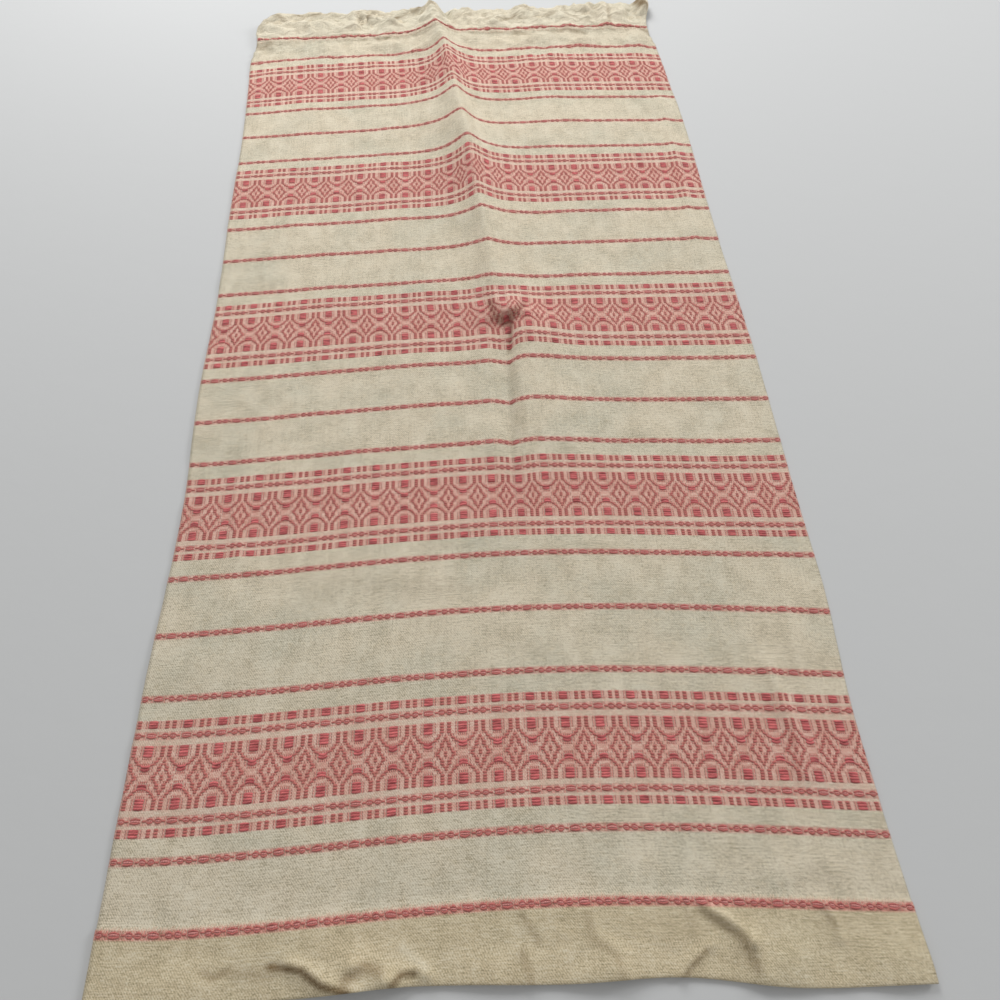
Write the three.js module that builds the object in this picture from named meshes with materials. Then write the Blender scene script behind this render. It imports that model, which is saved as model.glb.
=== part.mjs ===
// Woven table runner, opened flat, with the ridge of its old storage fold standing along the middle.
// Millimetres, +Z up. X runs across the cloth, +Y to its far end, and Z = 0 is the surface it lies on.
import * as THREE from 'three';
import { mergeVertices } from 'three/addons/utils/BufferGeometryUtils.js';

// Driving dimensions
const clothWidth = 460;
const clothLength = 984;
const clothThick = 1.2;
const hemThick = 2.3;
const farHemDepth = 46;
const nearHemDepth = 34;
const hemStep = 1.6;
const restingLift = 0.25;
const tipRound = 0.35;
const crestDraw = 90;

const farEnd = clothLength / 2;
const nearEnd = -clothLength / 2;
const farHemLine = farEnd - farHemDepth;
const nearHemLine = nearEnd + nearHemDepth;

// Steps of the sheet: closer together over the ridge and over the two crumpled hems
const acrossSpans = [
  { from: -clothWidth / 2, to: -68, steps: 9 },
  { from: -68, to: 0, steps: 9 },
  { from: 0, to: 68, steps: 9 },
  { from: 68, to: clothWidth / 2, steps: 9 },
];
const lengthSpans = [
  { from: nearEnd, to: nearHemLine - hemStep, steps: 6 },
  { from: nearHemLine - hemStep, to: nearHemLine, steps: 1 },
  { from: nearHemLine, to: -300, steps: 9 },
  { from: -300, to: -60, steps: 9 },
  { from: -60, to: 380, steps: 20 },
  { from: 380, to: farHemLine, steps: 6 },
  { from: farHemLine, to: farHemLine + hemStep, steps: 1 },
  { from: farHemLine + hemStep, to: farEnd, steps: 6 },
];

// The woven side edges drift in and out by a few millimetres, and the far left corner is rounded
const sideEdges = [
  { y: 492, left: -204, right: 228 },
  { y: 480, left: -222, right: 226 },
  { y: 464, left: -232, right: 222 },
  { y: 444, left: -230, right: 220 },
  { y: 404, left: -234, right: 225 },
  { y: 356, left: -232, right: 227 },
  { y: 274, left: -229, right: 231 },
  { y: 134, left: -228, right: 231 },
  { y: 48, left: -226, right: 232 },
  { y: -60, left: -228, right: 234 },
  { y: -184, left: -225, right: 233 },
  { y: -274, left: -229, right: 233 },
  { y: -334, left: -231, right: 229 },
  { y: -492, left: -234, right: 231 },
];

// The hemmed ends run almost straight, the near one falling away to the right
const endEdges = [
  { x: -230, near: -481, far: 495 },
  { x: -113, near: -484, far: 498 },
  { x: -58, near: -482, far: 497 },
  { x: -28, near: -483, far: 492 },
  { x: 27, near: -486, far: 495 },
  { x: 97, near: -487, far: 495 },
  { x: 152, near: -495, far: 496 },
  { x: 230, near: -498, far: 497 },
];

// Storage ridge, a row for each section: its crest, its height and how far each flank reaches
const ridgeSections = [
  { y: 498, crest: -30, rise: 15, leftReach: 13, rightReach: 11 },
  { y: 455, crest: -25, rise: 14, leftReach: 15, rightReach: 13 },
  { y: 413, crest: -17, rise: 17, leftReach: 12, rightReach: 14 },
  { y: 317, crest: -6, rise: 18, leftReach: 17, rightReach: 12 },
  { y: 276, crest: -1, rise: 19, leftReach: 19, rightReach: 12 },
  { y: 236, crest: 3, rise: 19, leftReach: 16, rightReach: 16 },
  { y: 137, crest: 12, rise: 14, leftReach: 13, rightReach: 14 },
  { y: 96, crest: 16, rise: 11, leftReach: 13, rightReach: 12 },
  { y: 53, crest: 18, rise: 8.5, leftReach: 12, rightReach: 15 },
  { y: 18, crest: 21, rise: 6, leftReach: 10, rightReach: 20 },
  { y: -16, crest: 34, rise: 6.5, leftReach: 8, rightReach: 34 },
  { y: -44, crest: 42, rise: 4.5, leftReach: 15, rightReach: 36 },
  { y: -104, crest: 32, rise: 1.5, leftReach: 16, rightReach: 26 },
  { y: -184, crest: 22, rise: 0.6, leftReach: 8, rightReach: 8 },
  { y: -294, crest: 30, rise: 0, leftReach: 8, rightReach: 8 },
];

// Rounded swells: crumples of the far hem, lifted waves of the near hem, a few soft bumps between
const swells = [
  { x: -213, y: 480, rise: 9, spreadX: 20, spreadY: 18 },
  { x: -166, y: 474, rise: 6, spreadX: 22, spreadY: 24 },
  { x: -128, y: 458, rise: 3.5, spreadX: 13, spreadY: 20 },
  { x: -106, y: 486, rise: 7, spreadX: 14, spreadY: 18 },
  { x: -76, y: 466, rise: 5, spreadX: 13, spreadY: 22 },
  { x: 10, y: 488, rise: 5, spreadX: 14, spreadY: 16 },
  { x: 44, y: 468, rise: 4, spreadX: 15, spreadY: 18 },
  { x: 78, y: 490, rise: 6, spreadX: 14, spreadY: 16 },
  { x: 114, y: 472, rise: 4.5, spreadX: 16, spreadY: 20 },
  { x: 150, y: 488, rise: 6, spreadX: 15, spreadY: 18 },
  { x: 190, y: 474, rise: 6.5, spreadX: 14, spreadY: 22 },
  { x: 220, y: 490, rise: 11, spreadX: 9, spreadY: 18 },
  { x: 17, y: 434, rise: 3.5, spreadX: 16, spreadY: 9 },
  { x: 87, y: 430, rise: 4, spreadX: 20, spreadY: 10 },
  { x: 142, y: 422, rise: 3, spreadX: 18, spreadY: 12 },
  { x: 207, y: 424, rise: 4, spreadX: 12, spreadY: 22 },
  { x: -83, y: 430, rise: 3, spreadX: 18, spreadY: 10 },
  { x: -148, y: 426, rise: 2.5, spreadX: 24, spreadY: 12 },
  { x: -82, y: -480, rise: 5, spreadX: 20, spreadY: 12 },
  { x: -8, y: -480, rise: 2.5, spreadX: 26, spreadY: 12 },
  { x: 54, y: -484, rise: 3.5, spreadX: 24, spreadY: 12 },
  { x: 152, y: -484, rise: 3.5, spreadX: 16, spreadY: 14 },
  { x: 216, y: -488, rise: 3, spreadX: 18, spreadY: 16 },
  { x: -188, y: -478, rise: 2.5, spreadX: 26, spreadY: 12 },
];

// Creases pressed into the cloth, each along its own short line
const creases = [
  { line: [[213, 308], [212, 186], [209, 64]], rise: 2, spread: 8 },
  { line: [[204, -240], [202, -279], [200, -314]], rise: 1.8, spread: 8 },
  { line: [[181, -316], [183, -339], [188, -359], [186, -386]], rise: 3.5, spread: 8 },
  { line: [[154, -444], [170, -437], [186, -434]], rise: 2.5, spread: 7 },
  { line: [[107, -450], [120, -460], [129, -470], [133, -490]], rise: 4.5, spread: 8 },
  { line: [[86, -488], [99, -478], [114, -470]], rise: 4.5, spread: 6 },
  { line: [[176, -458], [180, -466], [184, -482]], rise: 3, spread: 7 },
  { line: [[-128, -466], [-114, -471], [-105, -481], [-98, -487]], rise: 4.5, spread: 7 },
  { line: [[170, 500], [172, 476], [174, 452]], rise: 4, spread: 7 },
];

function stations(spans) {
  const places = [spans[0].from];
  for (const span of spans) {
    for (let step = 1; step <= span.steps; step += 1) {
      places.push(THREE.MathUtils.lerp(span.from, span.to, step / span.steps));
    }
  }
  return places;
}

// Smooth curve through one column of a table, read at any place between its first and last rows
function track(table, key, column) {
  const rows = [...table].sort((a, b) => a[key] - b[key]);
  const places = rows.map((row) => row[key]);
  const values = rows.map((row) => row[column]);
  const curve = new THREE.CubicInterpolant(places, values, 1);
  return (place) => curve.evaluate(THREE.MathUtils.clamp(place, places[0], places.at(-1)))[0];
}

const leftEdge = track(sideEdges, 'y', 'left');
const rightEdge = track(sideEdges, 'y', 'right');
const nearEdge = track(endEdges, 'x', 'near');
const farEdge = track(endEdges, 'x', 'far');
const crestX = track(ridgeSections, 'y', 'crest');
const crestRise = track(ridgeSections, 'y', 'rise');
const leftReach = track(ridgeSections, 'y', 'leftReach');
const rightReach = track(ridgeSections, 'y', 'rightReach');

// A pointed crest whose flanks die away on either side, with its very tip rounded off
function ridgeLift(x, y) {
  const beside = x - crestX(y);
  const reach = beside < 0 ? leftReach(y) : rightReach(y);
  return Math.max(0, crestRise(y)) * Math.exp(tipRound - Math.hypot(beside / reach, tipRound));
}

function swellLift(x, y) {
  return swells.reduce((sum, swell) => {
    const away = ((x - swell.x) / swell.spreadX) ** 2 + ((y - swell.y) / swell.spreadY) ** 2;
    return sum + swell.rise * Math.exp(-away);
  }, 0);
}

function creaseLift(x, y) {
  const spot = new THREE.Vector3(x, y, 0);
  const nearest = new THREE.Vector3();
  let lift = 0;
  for (const crease of creases) {
    const knots = crease.line.map(([lineX, lineY]) => new THREE.Vector3(lineX, lineY, 0));
    const gaps = knots.slice(1).map((knot, index) => {
      new THREE.Line3(knots[index], knot).closestPointToPoint(spot, true, nearest);
      return nearest.distanceTo(spot);
    });
    lift += crease.rise * Math.exp(-((Math.min(...gaps) / crease.spread) ** 2));
  }
  return lift;
}

// Height of the cloth's underside: zero wherever the cloth lies on the surface
function underside(x, y) {
  const lift = ridgeLift(x, y) + swellLift(x, y) + creaseLift(x, y);
  return Math.max(0, lift - restingLift);
}

function thickness(flatY) {
  const inHem = flatY < nearHemLine || flatY > farHemLine;
  return inHem ? hemThick : clothThick;
}

// A flat board with the sheet's steps, then each point carried to the outline and lifted onto the folds.
// Columns near the middle are drawn sideways, so that one of them runs along the ridge's crest.
function clothGeometry() {
  const across = stations(acrossSpans);
  const along = stations(lengthSpans);
  const stepsAcross = across.length - 1;
  const stepsAlong = along.length - 1;
  const board = new THREE.BoxGeometry(stepsAcross, stepsAlong, 1, stepsAcross, stepsAlong, 1);
  board.deleteAttribute('normal');
  board.deleteAttribute('uv');
  const sheet = mergeVertices(board);
  const points = sheet.attributes.position;
  for (let index = 0; index < points.count; index += 1) {
    const flatX = across[Math.round(points.getX(index) + stepsAcross / 2)];
    const flatY = along[Math.round(points.getY(index) + stepsAlong / 2)];
    const y = THREE.MathUtils.mapLinear(flatY, nearEnd, farEnd, nearEdge(flatX), farEdge(flatX));
    const plainX = THREE.MathUtils.mapLinear(
      flatX, -clothWidth / 2, clothWidth / 2, leftEdge(flatY), rightEdge(flatY),
    );
    const x = plainX + crestX(y) * Math.exp(-((flatX / crestDraw) ** 2));
    const layer = points.getZ(index) > 0 ? thickness(flatY) : 0;
    points.setXYZ(index, x, y, underside(x, y) + layer);
  }
  sheet.computeVertexNormals();
  return sheet;
}

const clothMaterial = new THREE.MeshStandardMaterial({ color: 0xbeb296, roughness: 0.92, metalness: 0 });
const cloth = new THREE.Mesh(clothGeometry(), clothMaterial);
cloth.name = 'runner_cloth';

const runner = new THREE.Group();
runner.name = 'table_runner';
runner.add(cloth);

export default runner;
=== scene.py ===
import math

import bmesh
import bpy
import numpy as np
from mathutils import Matrix, Vector, noise


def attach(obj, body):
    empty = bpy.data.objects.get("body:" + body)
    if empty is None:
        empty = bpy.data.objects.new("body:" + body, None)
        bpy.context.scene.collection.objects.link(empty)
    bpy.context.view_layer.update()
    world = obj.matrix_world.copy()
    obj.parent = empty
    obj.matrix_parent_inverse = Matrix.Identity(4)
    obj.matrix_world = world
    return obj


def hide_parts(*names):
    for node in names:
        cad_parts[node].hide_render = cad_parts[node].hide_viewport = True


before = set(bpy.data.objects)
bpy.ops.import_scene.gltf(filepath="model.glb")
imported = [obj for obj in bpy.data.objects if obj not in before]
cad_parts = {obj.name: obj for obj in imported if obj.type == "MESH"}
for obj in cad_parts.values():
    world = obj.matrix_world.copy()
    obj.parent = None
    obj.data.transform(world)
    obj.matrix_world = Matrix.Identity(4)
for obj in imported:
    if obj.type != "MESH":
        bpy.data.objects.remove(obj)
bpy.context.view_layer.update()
mm = 0.001
print("frame loaded")

camera = {
    "place": (-4.95, -463.2, 493.1),   # mm
    "lens": 27.36,
    "sensor": 36.0,
    "turn": -3.22,                     # degrees; below 0 it looks to the right of +Y
    "tip": 30.09,                      # degrees up from straight down
    "roll": -0.264,
    "nearest": 0.01,                   # metres
}

cameraData = bpy.data.cameras.new("photoCamera")
cameraData.lens = camera["lens"]
cameraData.sensor_width = camera["sensor"]
cameraData.clip_start = camera["nearest"]
cameraObject = bpy.data.objects.new("photoCamera", cameraData)
bpy.context.scene.collection.objects.link(cameraObject)
cameraObject.matrix_world = (
    Matrix.Translation(Vector(camera["place"]) * mm)
    @ Matrix.Rotation(math.radians(camera["turn"]), 4, "Z")
    @ Matrix.Rotation(math.radians(camera["tip"]), 4, "X")
    @ Matrix.Rotation(math.radians(camera["roll"]), 4, "Z")
)
bpy.context.scene.camera = cameraObject

# Everything below is in millimetres. u runs across the cloth from its left edge and is measured
# along its folds. v runs along it, following the weft, and is measured on the surface below.
runner = {
    "width": 460.0,
    "nearHemLine": -449.3,
    "farHemLine": 441.0,
    "clothTop": 0.9,       # how high the top of the cloth lies
    "hemThick": 2.0,
    "wall": 0.85,          # thickness of one layer, below its top
    "restingLift": 0.25,   # what is lifted less than this lies flat
    "tipRound": 0.35,      # how round a crest is, as a share of its reach
    "columns": [(0, 186, 72), (186, 268, 50), (268, 460, 72)],   # from, to, steps
    "bodyRows": [(-449.3, -447.7, 1), (-447.7, -300, 30), (-300, -20, 46), (-20, 30, 16),
                 (30, 380, 58), (380, 439.4, 18), (439.4, 441, 1)],
    "hemRows": 22,
    "turnRows": 4,
    "returnRows": 6,
    "returnShare": 0.94,   # how far the turned-under layer reaches back to the hem line
    "fineSteps": 1400,     # steps in which the length across each row is added up
}

# small puckers along the ridge use up some of the width
pucker = {
    "slack": 3.3,
    "start": -340,         # y from which they grow
    "growth": 90,
    "beside": 6,           # to the right of the crest
    "spread": 14,
}

# y, left edge, right edge
sideEdges = [
    (492, -204, 228), (480, -222, 226), (464, -232, 222), (444, -230, 220), (404, -234, 225),
    (356, -232, 227), (274, -229, 231), (134, -228, 231), (48, -226, 232), (-60, -228, 234),
    (-184, -225, 233), (-274, -229, 233), (-334, -231, 229), (-492, -234, 231),
]

# x, near end, far end
endEdges = [
    (-230, -481, 495), (-113, -484, 498), (-58, -482, 497), (-28, -483, 492),
    (27, -486, 495), (97, -487, 495), (152, -495, 496), (230, -498, 497),
]

# y, crest, rise, reach of the left flank, reach of the right flank
ridgeSections = [
    (498, -30, 15, 13, 11), (455, -25, 14, 15, 13), (413, -17, 17, 12, 14), (317, -6, 18, 17, 12),
    (276, -1, 19, 19, 12), (236, 3, 19, 16, 16), (137, 12, 14, 13, 14), (96, 16, 11, 13, 12),
    (53, 18, 7.5, 12, 14), (18, 21, 4, 10, 16), (-16, 34, 3, 10, 30), (-44, 42, 1, 15, 36),
    (-104, 32, 0.6, 16, 26), (-184, 22, 0.6, 8, 8), (-294, 30, 0, 8, 8),
]

# the step from which the cloth rises to the right below the ridge
ledge = {
    "line": [(60, 24, 0), (20, 27, 2), (-11, 30, 5.5), (-65, 26, 5.5), (-130, 24, 4), (-190, 21, 0.5),
             (-240, 20, 0)],   # y, x, rise
    "rising": 4.2,             # how soon it rises
    "dying": 55,               # how far on it dies away
}

# x, y, rise, spread across, spread along
swells = [
    (-213, 480, 9, 20, 18), (-166, 478, 6, 22, 17), (-128, 468, 3, 13, 13), (-106, 486, 7, 14, 15),
    (-76, 472, 4.5, 13, 15), (10, 488, 5, 14, 16), (44, 470, 4, 15, 15), (78, 490, 6, 14, 16),
    (114, 474, 4.5, 16, 16), (150, 488, 6, 15, 18), (190, 474, 6.5, 14, 18), (220, 490, 11, 9, 18),
    (17, 434, 3.5, 16, 9), (87, 430, 4, 20, 10), (142, 422, 3, 18, 12), (207, 424, 4, 12, 22),
    (-83, 430, 3, 18, 10), (-148, 426, 2.5, 24, 12), (-82, -480, 5, 20, 12), (-8, -480, 2.5, 26, 12),
    (54, -484, 3.5, 24, 12), (152, -484, 3.5, 16, 14), (216, -488, 3, 18, 16), (-188, -478, 2.5, 26, 12),
    (95, 320, 1.6, 26, 80), (52, -14, 2.5, 24, 26),
]

# swells with a steep face towards the near end: x, y, rise, spread across, far side, near side
banks = [(29, 1, 8.5, 18, 22, 5), (224, 476, 4, 8, 12, 5)]

# the line of each crease, its rise, its reach to either side
creases = [
    ([(213, 308), (212, 186), (209, 64)], 2, 5),
    ([(204, -240), (202, -279), (200, -314)], 1.8, 5),
    ([(181, -316), (183, -339), (188, -359), (186, -386)], 3.5, 4.5),
    ([(170, 500), (172, 476), (174, 452)], 4, 4.5),
    # the folds of the near hem, sharper than in the solid
    ([(111, -454), (123, -461), (130, -467), (134, -473)], 3.5, 2.6),
    ([(134, -473), (135, -482), (138, -490)], 3, 4.5),
    ([(92, -487), (97, -481), (106, -476), (112, -472)], 2.6, 2),
    ([(179, -458), (183, -466), (184, -474)], 3, 2.6),
    ([(-123, -468), (-115, -470), (-106, -476), (-97, -481), (-84, -484)], 4.5, 2.6),
    ([(-87, -470), (-76, -473), (-64, -481)], 3.5, 4),
    ([(-67, -480), (-60, -475), (-53, -474), (-46, -478)], 3, 2.6),
    ([(8, -450), (11, -458)], 1.5, 2.6),
    ([(6, -470), (9, -484)], 1.8, 2.6),
    ([(44, -453), (46, -465), (56, -471), (59, -484)], 1.9, 3),
    ([(119, -430), (125, -446)], 1.6, 2.8),
    ([(189, -434), (191, -452)], 1.6, 2.8),
    ([(153, -443), (169, -437), (184, -434)], 2.2, 3),
    # too small for the solid: two soft lines of the middle, then the crumples of the far hem
    ([(11, 6), (8, -130)], 2.2, 11),
    ([(-187, -166), (-180, -216), (-164, -229)], 1.8, 4),
    ([(-84, -236), (-49, -242), (-14, -239)], 1.6, 5),
    ([(-213, 476), (-205, 472)], -5, 3),
    ([(-188, 482), (-167, 484), (-146, 483)], -6, 4),
    ([(-192, 494), (-148, 495)], 2, 3),
    ([(-122, 492), (-119, 466)], 4, 4),
    ([(-112, 474), (-106, 468)], -6, 3),
    ([(-104, 489), (-82, 484)], -6, 3.5),
    ([(-104, 480), (-86, 475), (-72, 466)], 3, 3),
    ([(-76, 480), (-64, 474)], -5, 3),
    ([(-68, 482), (-51, 486), (-38, 488)], -7, 3.5),
    ([(-16, 494), (-10, 474), (2, 458)], -6, 3),
    ([(20, 486), (40, 480)], -5, 3.5),
    ([(60, 490), (66, 466), (78, 456)], -4, 3),
    ([(92, 488), (104, 472), (124, 462)], -5, 3.5),
    ([(134, 482), (158, 474)], -4, 3),
    ([(150, 494), (164, 486)], -4, 3),
    ([(202, 488), (206, 456)], -6, 3.5),
    ([(-226, 446), (-214, 436), (-196, 440)], 3, 5),
    ([(-70, 425), (-50, 414), (-38, 420)], 2.5, 4),
    ([(44, 430), (62, 418), (80, 424)], 2.5, 4),
    ([(112, 436), (130, 420), (146, 424)], 2.5, 5),
    ([(180, 432), (192, 414)], 2.5, 5),
]

# narrow creases: the line, its reach to either side, its rise, and how much painted shade lies along it
# (painted highlight below 0)
pressed = [
    ([(-134, -468), (-116, -471), (-105, -479), (-89, -483)], 3.4, -1.2, 0.9),
    ([(-91, -477), (-80, -471), (-73, -474)], 5.5, -1, 0.55),
    ([(-67, -483), (-61, -476), (-54, -476)], 3.4, -1, 0.75),
    ([(-169, -469), (-164, -472), (-158, -469)], 3.4, -0.6, 0.45),
    ([(-154, -470), (-133, -472)], 6, -0.6, 0.28),
    ([(-192, -424), (-172, -436)], 3.2, 0.4, -0.25),
    ([(-155, -430), (-141, -443)], 3.2, 0.4, -0.25),
    ([(-61, -463), (-47, -474)], 3.2, 0.5, -0.3),
    ([(109, -455), (120, -463), (129, -470), (134, -485)], 4.5, -1, 0.42),
    ([(91, -490), (98, -482), (108, -475)], 2.6, -0.9, 0.5),
    ([(178, -458), (183, -468)], 3, -0.8, 0.4),
    ([(8, -452), (15, -465)], 4, -0.8, 0.3),
    ([(6, -470), (10, -484)], 4, -0.8, 0.3),
    ([(44, -453), (46, -465), (58, -475), (60, -484)], 4, -0.8, 0.3),
    ([(100, -452), (103, -466)], 3.2, -0.5, 0.22),
    ([(-214, 487), (-200, 477)], 4, -1.2, 0.5),
    ([(-197, 497), (-180, 490), (-151, 494)], 4, -1.2, 0.5),
    ([(-116, 491), (-112, 472), (-98, 483)], 3.6, -1.2, 0.5),
    ([(-108, 497), (-81, 486)], 3.6, -1.2, 0.45),
    ([(-76, 481), (-58, 491), (-36, 498)], 4.5, -1.4, 0.6),
    ([(-34, 500), (-21, 481)], 3.4, -1.2, 0.45),
    ([(-234, 438), (-226, 431), (-214, 436)], 5.5, -1, 0.45),
    ([(-96, 444), (-88, 438), (-80, 443)], 4.5, -0.8, 0.35),
    ([(34, 474), (51, 466), (69, 479)], 4, -1.2, 0.5),
    ([(72, 495), (88, 486)], 4, -1.2, 0.5),
    ([(72, 472), (113, 477)], 3.4, -0.8, 0.35),
    ([(127, 493), (130, 474), (159, 460)], 3.4, -1, 0.4),
    ([(180, 495), (177, 456)], 3.2, -1.2, 0.45),
    ([(65, 445), (92, 435)], 4.5, -1, 0.4),
    ([(109, 440), (126, 449), (147, 440)], 4.5, -1, 0.4),
    ([(213, 495), (216, 482), (226, 477)], 6, -1, 0.85),
    ([(211, 442), (222, 430)], 4.5, -1, 0.45),
    # below the end of the ridge: the crescent and the lines under it carry painted shadow
    ([(14, 17), (17, 0), (25, -6), (36, -1), (43, 11)], 6, -1.6, 0.5),
    ([(31, -8), (28, -34)], 3.6, -1, 0.45),
    ([(30, -51), (32, -127)], 8, 0, 0.14),
]

# where the cloth is drawn towards the near end, along the step below the ridge
drawn = {
    "line": [(12, 140), (20, 60), (24, 0), (26, -86), (28, -170)],
    "by": 2.2,
    "reach": 10,
}

# how far each weft thread bows along the cloth: v, then at the left edge, a quarter, the middle,
# three quarters and the right edge
weftBow = [
    (447, -3, 1, 3, 5.5, -3.5), (409, -5, 3, 4.5, 5.6, -2), (270, 0.5, 4.6, 7.8, 7.4, 1),
    (89, 0.4, 5, 6.8, 6.3, 2.9), (-93, 0, 4.4, 6.9, 2.8, -2.8), (-184, 2.9, 5.9, 8.8, 3.4, -3.8),
    (-275, 3.8, 7.5, 10.2, 5, -5.5), (-366, 5.4, 5.8, 8.3, 3.3, -6.5), (-414, 4.5, 4.9, 7.9, 3, -7.9),
    (-450, 4.4, 2.8, 5.4, 0.2, -9.5),
]


def track(rows, column):
    # a smooth curve through one column of a table, read at a place given as in its first column
    ordered = sorted(rows)
    places = np.array([row[0] for row in ordered], float)
    values = np.array([row[column] for row in ordered], float)
    slopes = np.gradient(values, places)

    def read(place):
        place = np.clip(place, places[0], places[-1])
        k = np.clip(np.searchsorted(places, place) - 1, 0, len(places) - 2)
        gap = places[k + 1] - places[k]
        t = (place - places[k]) / gap
        return (
            (1 + 2 * t) * (1 - t) ** 2 * values[k]
            + t * (1 - t) ** 2 * gap * slopes[k]
            + t * t * (3 - 2 * t) * values[k + 1]
            + t * t * (t - 1) * gap * slopes[k + 1]
        )
    return read


leftEdge, rightEdge = track(sideEdges, 1), track(sideEdges, 2)
nearEdge, farEdge = track(endEdges, 1), track(endEdges, 2)
crestX, crestRise = track(ridgeSections, 1), track(ridgeSections, 2)
leftReach, rightReach = track(ridgeSections, 3), track(ridgeSections, 4)
ledgeX, ledgeRise = track(ledge["line"], 1), track(ledge["line"], 2)
bowTracks = [track(weftBow, column) for column in range(1, 6)]


def bowAt(u, v):
    # a smooth curve through the five bow values of this weft
    at = [read(v) for read in bowTracks]
    t = np.clip(u / runner["width"], 0, 1) * (len(at) - 1)
    total = 0
    for k, value in enumerate(at):
        weight = 1
        for other in range(len(at)):
            if other != k:
                weight = weight * (t - other) / (k - other)
        total = total + value * weight
    return total


def toLine(x, y, line):
    # how far each place is from a line of straight lengths
    best = np.full(np.shape(x), 1e9)
    for (ax, ay), (bx, by) in zip(line, line[1:]):
        dx, dy = bx - ax, by - ay
        t = np.clip(((x - ax) * dx + (y - ay) * dy) / (dx * dx + dy * dy), 0, 1)
        best = np.minimum(best, np.hypot(x - ax - t * dx, y - ay - t * dy))
    return best


def closeTo(x, y, line, reach):
    # 1 on the line, falling smoothly to 0 at its reach
    share = np.clip(1 - toLine(x, y, line) / reach, 0, 1)
    return share * share * (3 - 2 * share)


def paintedShadeAt(x, y):
    # painted shade along the pressed creases, for the cloth and its yarns; below 0 it is painted highlight
    return sum(dark * closeTo(x, y, line, reach) for line, reach, _, dark in pressed)


def liftAt(x, y):
    beside = x - crestX(y)
    reach = np.where(beside < 0, leftReach(y), rightReach(y))
    tip = runner["tipRound"]
    lift = np.maximum(0, crestRise(y)) * np.exp(tip - np.hypot(beside / reach, tip))
    for sx, sy, rise, spreadX, spreadY in swells:
        lift = lift + rise * np.exp(-((x - sx) / spreadX) ** 2 - ((y - sy) / spreadY) ** 2)
    for line, rise, reach in creases:
        lift = lift + rise * np.exp(tip - np.hypot(toLine(x, y, line) / reach, tip))
    onward = np.maximum(0, x - ledgeX(y))
    step = (1 - np.exp(-onward / ledge["rising"])) * np.exp(-(onward / ledge["dying"]) ** 2)
    lift = lift + ledgeRise(y) * step
    for bx, by, rise, spreadX, farSide, nearSide in banks:
        spreadY = np.where(y > by, farSide, nearSide)
        lift = lift + rise * np.exp(-((x - bx) / spreadX) ** 2 - ((y - by) / spreadY) ** 2)
    for line, reach, rise, _ in pressed:
        lift = lift + rise * closeTo(x, y, line, reach)
    return np.maximum(0, lift - runner["restingLift"])


def stations(spans):
    # the places at which spans, each given as from, to and steps, are divided
    places = [float(spans[0][0])]
    for start, end, steps in spans:
        places += [start + (end - start) * step / steps for step in range(1, steps + 1)]
    return np.array(places)


uPlaces = stations(runner["columns"])
bodyPlaces = stations(runner["bodyRows"])
fold = runner["hemThick"] / 2
hemBow = 450.0     # v whose bow the folded edges follow
flatX = uPlaces - runner["width"] / 2
nearFold = nearEdge(flatX) - bowAt(uPlaces, -hemBow) + fold
farFold = farEdge(flatX) - bowAt(uPlaces, hemBow) - fold


def clothRows():
    # each row of the sheet: its v at every column, its height over the lift, and its v were the hems
    # let out
    rows = []

    def hemRows(line, foldLine, side):
        made = []
        for step in range(runner["returnRows"], 0, -1):   # the turned-under layer, from its raw edge
            share = step / runner["returnRows"] * runner["returnShare"]
            v = foldLine + (line - foldLine) * share
            made.append((v, 0.0, foldLine + side * (math.pi * fold + np.abs(v - foldLine))))
        for step in range(runner["turnRows"] + 1):        # round the fold
            angle = math.pi * (step / runner["turnRows"] - 0.5)
            out = side * fold * math.cos(angle)
            along = side * fold * (math.pi / 2 - angle)
            made.append((foldLine + out, fold * (1 + math.sin(angle)), foldLine + along))
        for step in range(1, runner["hemRows"] + 1):
            share = step / runner["hemRows"]
            v = foldLine + (line - foldLine) * share
            made.append((v, runner["hemThick"], v))
        return made

    rows += hemRows(runner["nearHemLine"], nearFold, -1)
    for v in bodyPlaces[1:-1]:
        level = np.full(len(uPlaces), v)
        rows.append((level, runner["clothTop"], level))
    rows += hemRows(runner["farHemLine"], farFold, 1)[::-1]
    return rows


rows = clothRows()
firstTop = runner["returnRows"] + runner["turnRows"]
lastTop = len(rows) - 1 - firstTop
rowCount, columnCount = len(rows), len(uPlaces)
cloth = np.zeros((rowCount, columnCount, 3))
flatV = np.zeros((rowCount, columnCount))
fine = np.linspace(0, 1, runner["fineSteps"] + 1)
for j, (vRow, height, flatRow) in enumerate(rows):
    v = np.interp(fine * runner["width"], uPlaces, vRow)
    y = v + bowAt(fine * runner["width"], v)
    x = leftEdge(y) + (rightEdge(y) - leftEdge(y)) * fine
    y = y - drawn["by"] * np.exp(-(toLine(x, y, drawn["line"]) / drawn["reach"]) ** 2)
    z = liftAt(x, y)
    steps = np.sqrt(np.diff(x) ** 2 + np.diff(y) ** 2 + np.diff(z) ** 2)
    walked = np.concatenate([[0], np.cumsum(steps)])
    puckered = pucker["slack"] * np.clip((y - pucker["start"]) / pucker["growth"], 0, 1)
    walked += puckered * (0.5 + 0.5 * np.tanh((x - crestX(y) - pucker["beside"]) / pucker["spread"]))
    walked *= runner["width"] / walked[-1]
    cloth[j, :, 0] = np.interp(uPlaces, walked, x)
    cloth[j, :, 1] = np.interp(uPlaces, walked, y)
    cloth[j, :, 2] = np.interp(uPlaces, walked, z) + height
    flatV[j] = flatRow

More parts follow.
